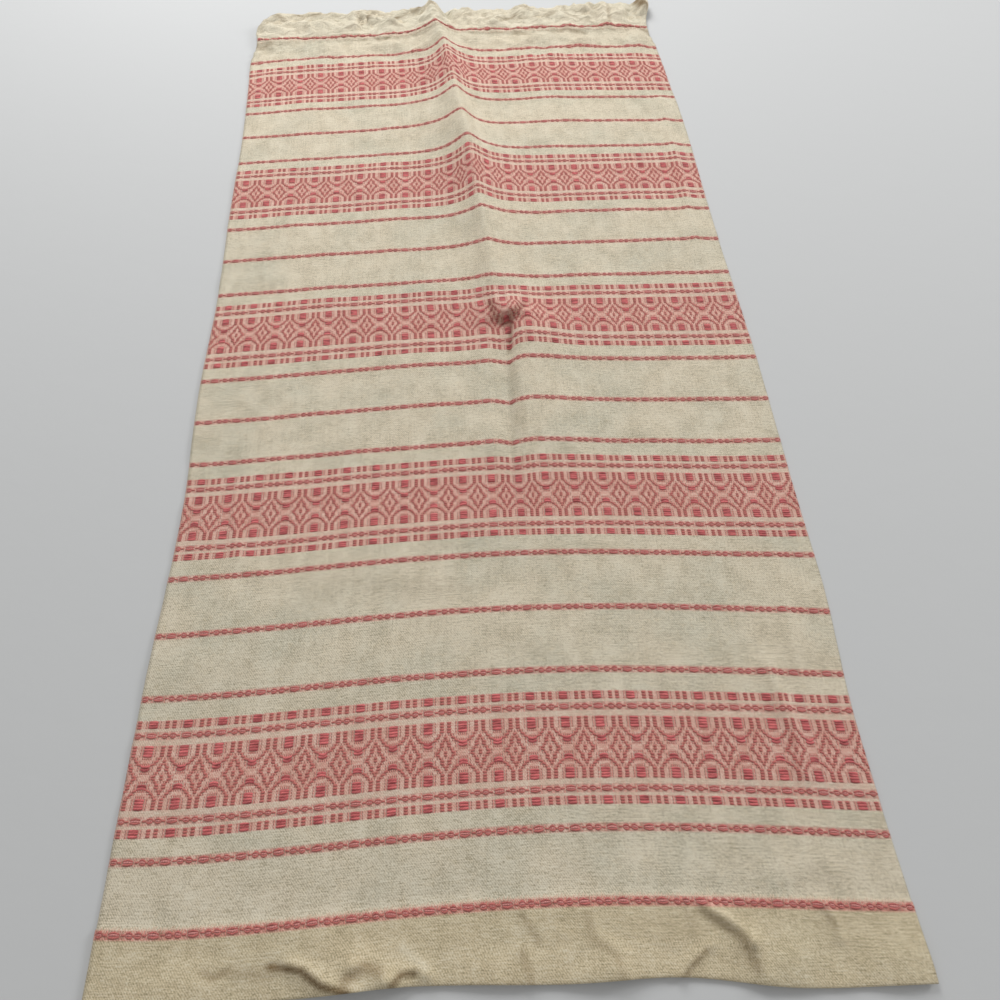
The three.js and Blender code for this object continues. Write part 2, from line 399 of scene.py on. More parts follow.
# small unevenness of limp cloth, which never goes below the surface it lies on
limp = {
    # how far apart the waves are across and along the cloth, and a seed
    "broad": (46, 46, 0.3),
    "small": (17, 13, 5.1),
    "sharp": (11, 10, 8.3),
    "broadRise": 1.1,
    "smallRise": (0.4, 1.5),      # on the level cloth, and what the far hem adds
    "sharpRise": (0.5, 6.0),
    "sharpMiddle": 0.35,
    "base": 0.2,
    # how the far hem comes in: a share, the y where it starts, and how far it takes
    "farHem": [(0.45, 375, 90), (0.55, 450, 16)],
}


def waver(x, y, kind):
    across, along, seed = limp[kind]
    return noise.noise(Vector((x / across, y / along, seed)))


for j in range(rowCount):
    for i in range(columnCount):
        x, y, z = cloth[j, i]
        inHem = sum(min(share, max(0.0, (y - start) / span)) for share, start, span in limp["farHem"])
        smallRise, sharpRise = [rise + more * inHem for rise, more in (limp["smallRise"], limp["sharpRise"])]
        sharp = limp["sharpMiddle"] - abs(waver(x, y, "sharp"))
        crumpled = waver(x, y, "small") * smallRise + sharp * sharpRise
        cloth[j, i, 2] = z + max(0.0, waver(x, y, "broad") * limp["broadRise"] + crumpled + limp["base"])

slopeU = np.gradient(cloth, axis=1)
slopeV = np.gradient(cloth, axis=0)
outward = np.cross(slopeU, slopeV)
outward /= np.linalg.norm(outward, axis=2, keepdims=True)
print("cloth worked out:", rowCount, "rows of", columnCount)

hemShares = np.linspace(0, 1, runner["hemRows"] + 1)
nearRows = firstTop + np.arange(runner["hemRows"] + 1)
farRows = lastTop - np.arange(runner["hemRows"] + 1)
bodyRows = np.arange(nearRows[-1], farRows[-1] + 1)


def onCloth(u, v, height):
    # places on the finished cloth for flat places (u, v), standing off it by height
    u = np.clip(u, 0, runner["width"])
    column = np.interp(u, uPlaces, np.arange(columnCount))
    nearLine, farLine = runner["nearHemLine"], runner["farHemLine"]
    nearShare = (v - np.interp(u, uPlaces, nearFold)) / (nearLine - np.interp(u, uPlaces, nearFold))
    farShare = (v - np.interp(u, uPlaces, farFold)) / (farLine - np.interp(u, uPlaces, farFold))
    row = np.where(
        v < nearLine,
        np.interp(nearShare, hemShares, nearRows),
        np.where(v > farLine, np.interp(farShare, hemShares, farRows), np.interp(v, bodyPlaces, bodyRows)),
    )
    i = np.clip(column.astype(int), 0, columnCount - 2)
    j = np.clip(row.astype(int), 0, rowCount - 2)
    a, b = (column - i)[:, None], (row - j)[:, None]

    def blendOf(grid):
        low = grid[j, i] * (1 - a) + grid[j, i + 1] * a
        high = grid[j + 1, i] * (1 - a) + grid[j + 1, i + 1] * a
        return low * (1 - b) + high * b

    away = blendOf(outward)
    away /= np.linalg.norm(away, axis=1, keepdims=True)
    return blendOf(cloth) + away * np.asarray(height)[:, None]


class Wire:
    # a shader socket that can stand in a Python sum: each operator adds one Math node
    def __init__(self, board, socket):
        self.board, self.socket = board, socket

    def calc(self, operation, *values):
        return self.board.node("ShaderNodeMath", {"operation": operation}, dict(enumerate(values)))

    def sine(self):
        return self.calc("SINE", self)

    def size(self):
        return self.calc("ABSOLUTE", self)

    def clamp(self, low, high):
        return self.board.node("ShaderNodeClamp", None, {"Value": self, "Min": low, "Max": high})

    def __add__(self, other):
        return self.calc("ADD", self, other)

    def __radd__(self, other):
        return self.calc("ADD", other, self)

    def __sub__(self, other):
        return self.calc("SUBTRACT", self, other)

    def __rsub__(self, other):
        return self.calc("SUBTRACT", other, self)

    def __mul__(self, other):
        return self.calc("MULTIPLY", self, other)

    def __rmul__(self, other):
        return self.calc("MULTIPLY", other, self)

    def __truediv__(self, other):
        return self.calc("DIVIDE", self, other)

    def __rtruediv__(self, other):
        return self.calc("DIVIDE", other, self)

    def __lt__(self, other):
        return self.calc("LESS_THAN", self, other)

    def __gt__(self, other):
        return self.calc("GREATER_THAN", self, other)


class Board:
    # one material and its nodes
    def __init__(self, name):
        self.material = bpy.data.materials.new(name)
        self.material.use_nodes = True
        self.tree = self.material.node_tree
        self.tree.nodes.clear()

    def node(self, kind, settings=None, sockets=None, out=0):
        made = self.tree.nodes.new(kind)
        for key, value in (settings or {}).items():
            if key == "stops":
                while len(made.color_ramp.elements) > 1:
                    made.color_ramp.elements.remove(made.color_ramp.elements[-1])
                made.color_ramp.elements[0].position = value[0][0]
                made.color_ramp.elements[0].color = value[0][1]
                for place, colour in value[1:]:
                    made.color_ramp.elements.new(place).color = colour
            elif key == "interpolation":
                made.color_ramp.interpolation = value
            else:
                setattr(made, key, value)
        for key, value in (sockets or {}).items():
            if isinstance(value, Wire):
                self.tree.links.new(value.socket, made.inputs[key])
            else:
                made.inputs[key].default_value = value
        return Wire(self, made.outputs[out]) if made.outputs else None

    def vector(self, x, y, z):
        return self.node("ShaderNodeCombineXYZ", None, {0: x, 1: y, 2: z})

    def cloudy(self, u, v, across, along, seed, detail):
        # uneven tones around 0.5; across and along say how fast they change in a mm
        place = self.vector(u * across, v * along, seed)
        return self.node("ShaderNodeTexNoise", None, {"Vector": place, "Scale": 1.0, "Detail": detail})

    def mix(self, share, first, second, blend="MIX"):
        settings = {"data_type": "RGBA", "blend_type": blend}
        return self.node("ShaderNodeMix", settings, {0: share, 6: first, 7: second}, out=2)

    def finish(self, colour, roughness, height, depth, sheen):
        bump = self.node("ShaderNodeBump", None, {"Strength": 1.0, "Distance": depth, "Height": height})
        shader = self.node("ShaderNodeBsdfPrincipled", None, {
            "Base Color": colour, "Roughness": roughness, "Normal": bump,
            "Specular IOR Level": 0.25, "Sheen Weight": sheen, "Sheen Roughness": 0.5,
        })
        self.node("ShaderNodeOutputMaterial", None, {"Surface": shader})
        return self.material


def hue(red, green, blue):
    # a colour given as it looks on screen, 0 to 255
    def linear(value):
        value /= 255
        return value / 12.92 if value < 0.04045 else ((value + 0.055) / 1.055) ** 2.4
    return (linear(red), linear(green), linear(blue), 1.0)


# An overshot draft on four shafts. A block of threads is counted out from its middle thread and
# mirrored, and every row of the pattern raises two neighbouring shafts.
draft = {
    "repeats": 21,
    "repeatWidth": 21.9,
    "repeatThreads": 34,
    "middleThread": 16,
    "threading": "1 2 1 2 1 2 3 2 3 4 3 4 1 2 1 2 3 4",
    "sheds": {"A": "12", "B": "23", "C": "34", "D": "41"},
    # rows from the middle of a band outwards; small letters are the three rows of a chain,
    # and - is a row of plain weave
    "bandRows": "C D A A B C D A A A A - - a d a - A A A",
    "rowStep": 1.75,
    # mm a thread, in the first rows, of the floats that lead from one block to the next
    "slopes": [0.2, 0.2, 0.12, 0.12, 0.2, 0.2, 0.2],
    # by row, how far the ends of the long floats lie beyond their middles
    "bends": {2: 0.9, 3: 0.9, 7: 0.25, 10: -0.25, 17: 0.25, 19: -0.25},
    "bands": [358.7, 179.3, -2.6, -183.3, -368.2],
    "nearHalf": [1.0, 1.0, 1.0, 1.0, 0.965],     # the last band is beaten closer in its near half
    "chains": [448.0, 406.9, 311.2, 269.4, 227.3, 129.6, 87.6, 45.1, -51.2, -93.6, -134.3, -232.9,
               -275.4, -319.0, -414.6, -451.3],
    "chainStep": 20.0,     # between the chains before they are carried to their places
}
draft["threadStep"] = draft["repeatWidth"] / draft["repeatThreads"]
shafts = draft["threading"].split()


def floatsOf(shed):
    # runs of neighbouring threads that one row of the pattern passes over: the middle of each,
    # in threads from the middle of the block, and its number of threads
    threads, centre = draft["repeatThreads"], draft["middleThread"]
    lifted = [shafts[min(abs(t - centre), len(shafts) - 1)] for t in range(threads)]
    raised = [shaft in draft["sheds"][shed] for shaft in lifted]
    runs = []
    for t in range(threads):
        if raised[t] and not raised[t - 1]:
            length = 1
            while raised[(t + length) % threads]:
                length += 1
            runs.append((t + (length - 1) / 2 - centre, length))
    return runs


yarn = {
    # thick and rise in mm; cut is the threads hidden at the ends of a float
    "long": {"thick": 1.95, "rise": 0.44, "cut": 1.8, "around": 6, "rings": 6},
    "short": {"thick": 1.85, "rise": 0.34, "cut": -0.4, "around": 6, "rings": 4},
    "dot": {"thick": 1.4, "rise": 0.2, "cut": 0.1, "around": 4, "rings": 2},
    "longFrom": 5,                  # threads
    "slim": 0.8,                    # floats thinner than this share of the thread have fewer rings
    "slimRings": 4,
    "full": -0.45,                  # how much fuller the ends are than a ball's; 0 is not at all
    "blunt": 0.55,                  # how much blunter they are; 1 is not at all
    "brightThreads": 8,             # a float this long is as bright as it gets
    "thickChance": (0.92, 1.06),
    "riseChance": (0.9, 1.1),
    "bendChance": 0.12,             # mm, for floats of six threads and more
    "bendThreads": 6,
}
chance = np.random.default_rng(7)


def addFloat(bm, lie, v, middle, threads, slope, bend, thick, pale):
    # slope is in mm a thread, and bend is how far the ends lie beyond the middle along the cloth;
    # thick is a share of the thread's own, and pale is 1 for the pale threads of a chain
    kind = "dot" if threads == 1 else "short" if threads < yarn["longFrom"] else "long"
    around = yarn[kind]["around"]
    rings = yarn["slimRings"] if thick < yarn["slim"] else yarn[kind]["rings"]
    length = (threads - yarn[kind]["cut"]) * draft["threadStep"]
    bright = min(1.0, (threads - 1) / yarn["brightThreads"]) * min(1.0, thick ** 2) + pale
    thick *= yarn[kind]["thick"] * chance.uniform(*yarn["thickChance"])
    rise = yarn[kind]["rise"] * chance.uniform(*yarn["riseChance"])
    u = draft["repeatWidth"] / 2 + middle * draft["threadStep"]
    strayed = chance.uniform(-yarn["bendChance"], yarn["bendChance"])
    bend += strayed * min(1.0, threads / yarn["bendThreads"])
    made = bmesh.ops.create_uvsphere(bm, u_segments=around, v_segments=rings, radius=1.0)
    for vert in made["verts"]:
        side, up, along = vert.co
        ring = math.hypot(side, up)
        fuller = ring ** yarn["full"] if ring > 0.001 else 0.0
        along = math.copysign(abs(along) ** yarn["blunt"], along)
        shift = slope * threads / 2 * along + bend * along * along
        vert.co = (u + along * length / 2, v + side * fuller * thick / 2 + shift, up * fuller * rise)
        vert[lie] = bright


def weaveCell(rows):
    # one repeat of pattern rows; each row is its v and its floats, and each float is what addFloat
    # takes from its middle on
    bm = bmesh.new()
    lie = bm.verts.layers.float.new("lie")
    for v, floats in rows:
        for one in floats:
            addFloat(bm, lie, v, *one)
    bmesh.ops.recalc_face_normals(bm, faces=bm.faces)
    mesh = bpy.data.meshes.new("cell")
    bm.to_mesh(mesh)
    bm.free()
    return mesh


chain = {
    "gap": 1.35,           # between its rows at their middles
    "pinch": 0.85,         # how far its outer floats bend towards the middle row at their ends
    # the floats of a row: middle, threads, thick, pale
    "outerRow": [(0, 12, 0.7, 0.0), (-13, 8, 0.7, 0.0), (13, 8, 0.7, 0.0)],
    "middleRow": [
        *[(n, 1, 1.2, 0.0) for n in (-4, -2, 0, 2, 4)],      # ribs over the block
        *[(n, 1, 1.0, 0.0) for n in (-14, -12, 12, 14)],     # and over the rings
        (0, 11, 0.62, 1.0), (-13, 7, 0.55, 1.0), (13, 7, 0.55, 1.0),     # a pale thread in each
        (-8, 6, 0.75, 0.0), (8, 6, 0.75, 0.0), (17, 5, 0.75, 0.0),     # links from ring to ring
    ],
}


def chainRows():
    rows = []
    places = [(chain["gap"], "outerRow", -1), (0.0, "middleRow", 0), (-chain["gap"], "outerRow", 1)]
    for v, row, side in places:
        bend = side * chain["pinch"]
        floats = [(middle, threads, 0.0, bend, thick, pale) for middle, threads, thick, pale in chain[row]]
        rows.append((v, floats))
    return rows


def bandFloats(number, shed):
    # the floats of one row, counted from the middle of the band outwards
    slopes, bends = draft["slopes"], draft["bends"]
    floats = []
    for middle, threads in floatsOf(shed):
        slope, bend = 0.0, 0.0
        if number < len(slopes) and 1 < threads < 6 and abs(middle) < draft["middleThread"]:
            slope = math.copysign(slopes[number], middle)
        if threads > 5:
            bend = bends.get(number, 0.0)
        floats.append((middle, threads, slope, bend, 1.0, 0.0))
    return floats


def bandRows():
    rows = []
    for number, letter in enumerate(draft["bandRows"].split()):
        v = (number + 0.5) * draft["rowStep"]
        if letter in "ABCD":
            floats = bandFloats(number, letter)
            rows.append((v, floats))
            mirrored = [(n, threads, -slope, -bend, *rest) for n, threads, slope, bend, *rest in floats]
            rows.append((-v, mirrored))
        if letter == "d":      # the middle row of a chain
            for side in (1, -1):
                rows += [(side * v + off, floats) for off, floats in chainRows()]
    return rows


def repeated(name, mesh, arrays):
    # the cell repeated by Array modifiers, applied; arrays are (count, offset in mm)
    source = bpy.data.objects.new(name + "Cell", mesh)
    bpy.context.scene.collection.objects.link(source)
    for count, offset in arrays:
        array = source.modifiers.new("array", "ARRAY")
        array.count = count
        array.use_relative_offset = False
        array.use_constant_offset = True
        array.constant_offset_displace = offset
    graph = bpy.context.evaluated_depsgraph_get()
    made = bpy.data.meshes.new_from_object(source.evaluated_get(graph))
    bpy.data.objects.remove(source)
    made.name = name
    return made


def layOnCloth(mesh, place):
    # carries a flat mesh (in mm) onto the cloth; place turns its flat points into (u, v, height)
    flat = np.zeros(len(mesh.vertices) * 3)
    mesh.vertices.foreach_get("co", flat)
    u, v, height = place(flat.reshape(-1, 3))
    points = onCloth(u, v, height)
    mesh.vertices.foreach_set("co", points.ravel() * mm)
    # painted shade and highlight of the pressed creases, carried to the yarns' material
    shades = mesh.attributes.new("pressed", "FLOAT", "POINT")
    shades.data.foreach_set("value", paintedShadeAt(points[:, 0], points[:, 1]))
    corners = np.zeros(len(mesh.loops), int)
    mesh.loops.foreach_get("vertex_index", corners)
    layer = mesh.uv_layers.new(name="weave")
    layer.uv.foreach_set("vector", (np.stack([u, v], 1)[corners] * mm).ravel())
    mesh.shade_smooth()
    mesh.update()


# how the pattern threads wander: the size of the waves, and how far they go in mm
wander = {
    "across": (9.0, 0.14),
    "along": (13.0, 0.14),
    "within": (2.1, 0.16),        # within a motif
    "height": (5.0, 0.3),         # a share of the height
    "chain": (1.1, 0.3),
    "standOff": 0.05,
    "hemStandOff": 0.35,          # more of it, for the chain in the far hem
}


def drift(u, v, kind, seed):
    size, amount = wander[kind]
    return amount * (np.sin(u / size + seed) + np.sin(v / size * 1.7 + seed * 2 + u / size * 0.6)) / 2


def uneven(p, v, seed):
    # threads beaten in by hand never lie quite straight or equally high
    u = p[:, 0]
    return (
        u + drift(u, v, "across", seed),
        v + drift(v, u, "along", seed + 3) + drift(u, v, "within", seed + 5),
        p[:, 2] * (1.0 + drift(u, v, "height", seed + 1)) + wander["standOff"],
    )


repeats = (draft["repeats"], (draft["repeatWidth"], 0, 0))
bandMesh = repeated("band", weaveCell(bandRows()), [repeats])
patternPieces = []
for number, (bandPlace, closer) in enumerate(zip(draft["bands"], draft["nearHalf"]), 1):
    mesh = bandMesh.copy()
    layOnCloth(mesh, lambda p: uneven(p, p[:, 1] * np.where(p[:, 1] < 0, closer, 1) + bandPlace, number))
    patternPieces.append(bpy.data.objects.new(f"pattern_band_{number}", mesh))
bpy.data.meshes.remove(bandMesh)


def chainPlace(p):
    # carries each chain to its own place
    step = draft["chainStep"]
    which = np.round(p[:, 1] / step).astype(int)
    u, v, height = uneven(p, p[:, 1] - which * step + np.array(draft["chains"])[which], 1.0)
    inHem = which == 0
    return u, v + drift(u, v, "chain", 4.0) * (1 + inHem), height + wander["hemStandOff"] * inHem


stripes = (len(draft["chains"]), (0, draft["chainStep"], 0))
chainMesh = repeated("chains", weaveCell(chainRows()), [repeats, stripes])
layOnCloth(chainMesh, chainPlace)
patternPieces.append(bpy.data.objects.new("pattern_chains", chainMesh))
print("pattern threads laid:", sum(len(piece.data.polygons) for piece in patternPieces), "faces")

stitches = {
    "step": 2.05,
    "length": 3.4,
    "thick": 0.5,
    "rise": 0.42,
    "slant": 0.9,          # mm sideways over half its length
    "bulge": 1.15,         # how much fuller its middle is
    "margin": 4.0,         # mm of the width left without stitches
    "inset": 2.5,          # of the first stitch from the edge
    "strayAcross": (0.4, 2.4),     # how far they stray, in mm, and the turn from stitch to stitch
    "strayAlong": (0.35, 5.1),
    "nearPlace": 0.6,      # beyond the hem line
    "farPlace": 1.4,
}


def stray(u, kind):
    amount, turn = stitches[kind]
    return amount * np.sin(np.round(u / stitches["step"]) * turn)


def stitchPiece(name, v, slant):
    bm = bmesh.new()
    made = bmesh.ops.create_uvsphere(bm, u_segments=5, v_segments=4, radius=1.0)["verts"]
    for vert in made:
        along, side, up = vert.co.z, vert.co.x, vert.co.y
        bulk = stitches["bulge"] if abs(along) < 0.9 else 1.0
        vert.co = (
            side * stitches["thick"] / 2 * bulk + along * slant,
            along * stitches["length"] / 2,
            up * stitches["rise"] * bulk,
        )
    mesh = bpy.data.meshes.new("stitchCell")
    bmesh.ops.recalc_face_normals(bm, faces=bm.faces)
    bm.to_mesh(mesh)
    bm.free()
    count = int((runner["width"] - stitches["margin"]) / stitches["step"])
    mesh = repeated(name, mesh, [(count, (stitches["step"], 0, 0))])
    layOnCloth(mesh, lambda p: (
        p[:, 0] + stitches["inset"] + stray(p[:, 0], "strayAcross"),
        p[:, 1] + v + stray(p[:, 0], "strayAlong"),
        p[:, 2],
    ))
    return bpy.data.objects.new(name, mesh)


stitchPieces = [
    stitchPiece("near_hem_stitches", runner["nearHemLine"] + stitches["nearPlace"], stitches["slant"]),
    stitchPiece("far_hem_stitches", runner["farHemLine"] + stitches["farPlace"], -stitches["slant"]),
]

bm = bmesh.new()
bmesh.ops.create_grid(bm, x_segments=columnCount - 1, y_segments=rowCount - 1, size=0.5)
weaveLayer = bm.loops.layers.uv.new("weave")
for vert in bm.verts:
    i = round((vert.co.x + 0.5) * (columnCount - 1))
    j = round((vert.co.y + 0.5) * (rowCount - 1))
    vert.index = j * columnCount + i
for face in bm.faces:
    face.smooth = True
    for corner in face.loops:
        j, i = divmod(corner.vert.index, columnCount)
        corner[weaveLayer].uv = (uPlaces[i] * mm, flatV[j, i] * mm)
# painted shade and highlight of the pressed creases, kept on the sheet's points
sheetPaintedShade = paintedShadeAt(cloth[..., 0], cloth[..., 1])
shadeLayer = bm.verts.layers.float.new("pressed")
for vert in bm.verts:
    j, i = divmod(vert.index, columnCount)
    vert.co = Vector(cloth[j, i]) * mm
    vert[shadeLayer] = sheetPaintedShade[j, i]
sheetMesh = bpy.data.meshes.new("woven_cloth")
bm.to_mesh(sheetMesh)
bm.free()
sheet = bpy.data.objects.new("woven_cloth", sheetMesh)
wall = sheet.modifiers.new("thickness", "SOLIDIFY")
wall.thickness = runner["wall"] * mm
wall.offset = -1
wall.material_offset = 1
wall.material_offset_rim = 0
print("sheet made:", len(sheetMesh.polygons), "faces")

cream = {
    "warp": hue(238, 225, 200),
    "weft": hue(226, 213, 188),
    "gap": hue(146, 135, 106),
    "light": hue(252, 246, 226),
    "grey": hue(206, 203, 183),
    "warm": hue(232, 216, 184),
    "hem": hue(224, 204, 162),
    "pale": hue(250, 221, 204),     # ground inside a band, between the floats
    "blush": hue(238, 146, 136),    # where pattern threads show through
    "paintedFloatShadow": hue(150, 88, 82),
    # colour of the painted shade in creases and wrinkle hollows
    "hollowWithPaintedShade": hue(150, 130, 102),
}
red = {
    "light": hue(232, 118, 118),
    "dark": hue(156, 62, 64),
    "faded": hue(242, 172, 164),
    "short": hue(198, 124, 112),
    "dot": hue(180, 108, 98),
    "gap": hue(108, 38, 40),
}

# uneven tones: how fast they change in a mm across and along the cloth, a seed, their detail
tones = {
    "thread": (1.553, 0.03, 0.0, 1.0),
    "pick": (0.018, 1.5, 7.0, 1.0),
    "slub": (0.16, 1.1, 3.0, 2.0),
    "patch": (0.02, 0.02, 1.0, 3.0),
    "fleck": (0.3, 0.3, 9.0, 2.0),
    "grain": (0.9, 0.9, 5.0, 1.0),
    "stain": (0.07, 0.05, 13.0, 3.0),
    "streak": (0.28, 1.3, 11.0, 1.0),
    "wrinkle": (0.055, 0.1, 21.0, 1.0),
    "yarnPatch": (0.12, 0.5, 2.0, 2.0),
    "fibre": (1.2, 6.0, 4.0, 2.0),
}
weave = {
    "weftStep": 0.66,
    "hatch": (1.5, 0.74),          # mm between the slanting ribs across the cloth, and their slant
    "chainHalf": 2.3,              # half the width of the rows of a chain
    "blushHalf": 3.3,              # half the width of the pink around a chain
    "bandHalf": 35.2,
    "motifHalf": 12.0,             # half the width of the lozenges in a band
    "betweenBlocks": 14.5,         # threads from the middle of a block
    "closerMost": 1.4,             # mm that the last band is beaten closer at most
    # where along the cloth the hems look different
    "nearHemTone": -452.5,
    "farHemTone": 450.0,
    "nearHemPink": -440.0,
    "farHemLight": 452.0,
    "farRumple": (400.0, 60.0),    # where the wrinkles start, and how far they take to come in
    "nearRumple": (-452.0, 20.0),
    "depth": 0.00018,              # metres of relief
}
yarnLook = {
    "twist": (7.0, 4.2),       # how fast the twist turns in a mm across and along the cloth
    "tickStep": 1.4,           # mm between the ticks on the pale threads of a chain
    "depth": 0.00012,          # metres of relief
}
rampRows = 24      # rows of a band that the ramp of the sheds has room for


def weaveCoordinates(board):
    place = board.node("ShaderNodeUVMap", {"uv_map": "weave"})
    u = board.node("ShaderNodeSeparateXYZ", None, {0: place}, out=0) * 1000.0
    v = board.node("ShaderNodeSeparateXYZ", None, {0: place}, out=1) * 1000.0
    return u, v


def plainWeave(u, v):
    # warp and weft threads, each lowest at its edges and where it dips under the other
    warp = (u * (math.pi / draft["threadStep"])).sine()
    weft = (v * (math.pi / weave["weftStep"])).sine()
    over = (warp * weft * 3.0).clamp(-1.0, 1.0)
    warpTop = warp.size() * (over * 0.35 + 0.65)
    weftTop = weft.size() * (0.65 - over * 0.35)
    return weftTop > warpTop, warpTop.calc("MAXIMUM", warpTop, weftTop)


def nearest(v, places):
    # how far a place is from the nearest of the given places
    best = (v - places[0]).size()
    for place in places[1:]:
        best = best.calc("MINIMUM", best, (v - place).size())
    return best


def steppedRamp(board, place, numbers, room):
    # a number, from 0 to 4, for each step of a place that runs from 0 to 1
    stops = [(n / room, (number / 4,) * 3 + (1.0,)) for n, number in enumerate(numbers)]
    return board.node("ShaderNodeValToRGB", {"stops": stops, "interpolation": "CONSTANT"}, {0: place}) * 4.0


def shedOf(board, out):
    # 0 in plain weave, and 1 to 4 for the shed of a pattern row
    sheds = ["-ABCD".index(letter) for letter in draft["bandRows"].upper().split()]
    return steppedRamp(board, out / (rampRows * draft["rowStep"]), [*sheds, 0], rampRows)


def turnOf(u):
    # the place within a repeat, from -0.5 to 0.5, and 0 in the middle of a block
    turn = (u - draft["repeatWidth"] / 2) / draft["repeatWidth"]
    return turn - turn.calc("ROUND", turn)


def threadsFrom(u):
    # threads from the middle of the nearest block
    return turnOf(u).size() * float(draft["repeatThreads"])


def raisedAt(board, u, shed):
    # 1 where the pattern row passes over the warp thread at u
    place = (threadsFrom(u) + 0.5) / float(len(shafts))
    shaft = steppedRamp(board, place, [int(shaft) for shaft in shafts], len(shafts))
    steps = shaft - shed + 4.01
    return steps.calc("MODULO", steps, 4.0) < 1.5


def clothMaterial(name, under):
    board = Board(name)
    u, v = weaveCoordinates(board)

    def tone(kind):
        return board.cloudy(u, v, *tones[kind])

    weftShows, height = plainWeave(u, v)
    slub, patch, fleck, grain = tone("slub"), tone("patch"), tone("fleck"), tone("grain")
    closer = (draft["bands"][-1] - v) * (1.0 / draft["nearHalf"][-1] - 1.0)
    out = nearest(v, draft["bands"]) + closer.clamp(0.0, weave["closerMost"])
    toChain = nearest(v, draft["chains"])
    shed = shedOf(board, out) + (toChain < weave["chainHalf"])
    inRow = shed > 0.5
    raised = raisedAt(board, u, shed) * inRow
    inBand = out + (grain - 0.5) * 3.0 < weave["bandHalf"]

    # the undyed ground and the tone of the hems
    colour = board.mix(weftShows, cream["warp"], cream["weft"])
    colour = board.mix(((patch - 0.42) * 2.2).clamp(0.0, 1.0), colour, cream["grey"])
    colour = board.mix(((fleck - 0.52) * 2.0).clamp(0.0, 0.6), colour, cream["warm"])
    hemTone = (v < weave["nearHemTone"]) * 0.65 + (v > weave["farHemTone"]) * 0.12
    colour = board.mix(hemTone, colour, cream["hem"])

    # the half tones between the floats and the pink around the chains
    ground = (1.0 - raised) * inRow
    between = threadsFrom(u) > weave["betweenBlocks"]
    beside = raisedAt(board, u - draft["threadStep"], shed) + raisedAt(board, u + draft["threadStep"], shed)
    halfTone = ground * (beside > 1.5)
    beads = ((weave["blushHalf"] - toChain) * 0.6).clamp(0.0, 0.6) * (fleck * 0.9 + 0.45)
    beads = beads * ((v < weave["nearHemPink"]) * 0.55 + 0.4)
    through = inRow * 0.16 + ground * 0.14 + halfTone * 0.34 + ground * between * 0.12 + beads
    through = through + (out < weave["motifHalf"]) * 0.06 + inBand * ((fleck - 0.35) * 0.5 + 0.17)
    colour = board.mix(inBand * 0.2 + inRow * 0.25, colour, cream["pale"])
    colour = board.mix(through.clamp(0.0, 1.0), colour, cream["blush"])

    # darker and lighter threads, ribs, stains and streaks
    ribStep, slant = weave["hatch"]
    hatch = ((u + v * slant) * (2 * math.pi / ribStep)).sine() * (fleck + 0.2)
    lit = (tone("thread") - 0.5) * 0.5 + (tone("pick") - 0.5) * 0.6 + (slub - 0.5) * 1.1 + (grain - 0.5) * 1.5
    lit = lit + hatch * 0.3 + (tone("stain") - 0.5) * 0.9 - ((tone("streak") - 0.64) * 6.0).clamp(0.0, 0.6)
    colour = board.mix((0.05 - lit).clamp(0.0, 0.7) * (1.0 - inBand * 0.4), colour, cream["gap"])
    colour = board.mix(lit.clamp(0.0, 0.5), colour, cream["light"])
    # painted shade where the threads dip low in the weave
    colour = board.mix((1.0 - height) * 0.22, colour, cream["gap"])

    # on the underside red shows where the floats go behind; on top the floats' painted shadow darkens the
    # cloth beneath them
    shown = inRow - raised if under else raised
    colour = board.mix(shown * (0.85 if under else 0.4), colour, red["dark"] if under else cream["paintedFloatShadow"])
    if under:
        rib = (out * (2 * math.pi / draft["rowStep"]) - math.pi / 2).sine()
        height = height * (1.0 - shown) + (rib * 0.5 + 1.4) * shown
    else:
        (farStart, farSpan), (nearStart, nearSpan) = weave["farRumple"], weave["nearRumple"]
        rumpled = ((v - farStart) / farSpan).clamp(0.0, 1.0) + ((nearStart - v) / nearSpan).clamp(0.0, 0.3)
        # hollows of the hem wrinkles, sunk in the bump and also given painted shade
        hollowWithPaintedShade = (1.0 - (tone("wrinkle") - 0.5).size() * 9.0).clamp(0.0, 1.0) * rumpled
        dark = board.node("ShaderNodeAttribute", {"attribute_name": "pressed"}, None, out=2)
        height = height - hollowWithPaintedShade * 3.0
        # painted highlight along the light creases, and the far hem made paler
        light = (dark * -1.0).clamp(0.0, 0.5) + (v > weave["farHemLight"]) * 0.3
        colour = board.mix(light, colour, cream["light"])
        # painted shade along the pressed creases and in the wrinkle hollows
        colour = board.mix((dark + hollowWithPaintedShade * 0.2).clamp(0.0, 0.9), colour, cream["hollowWithPaintedShade"], "MULTIPLY")
    return board.finish(colour, 0.92, height + (slub - 0.5) * 0.8 + (grain - 0.5) * 0.8, weave["depth"], 0.1)


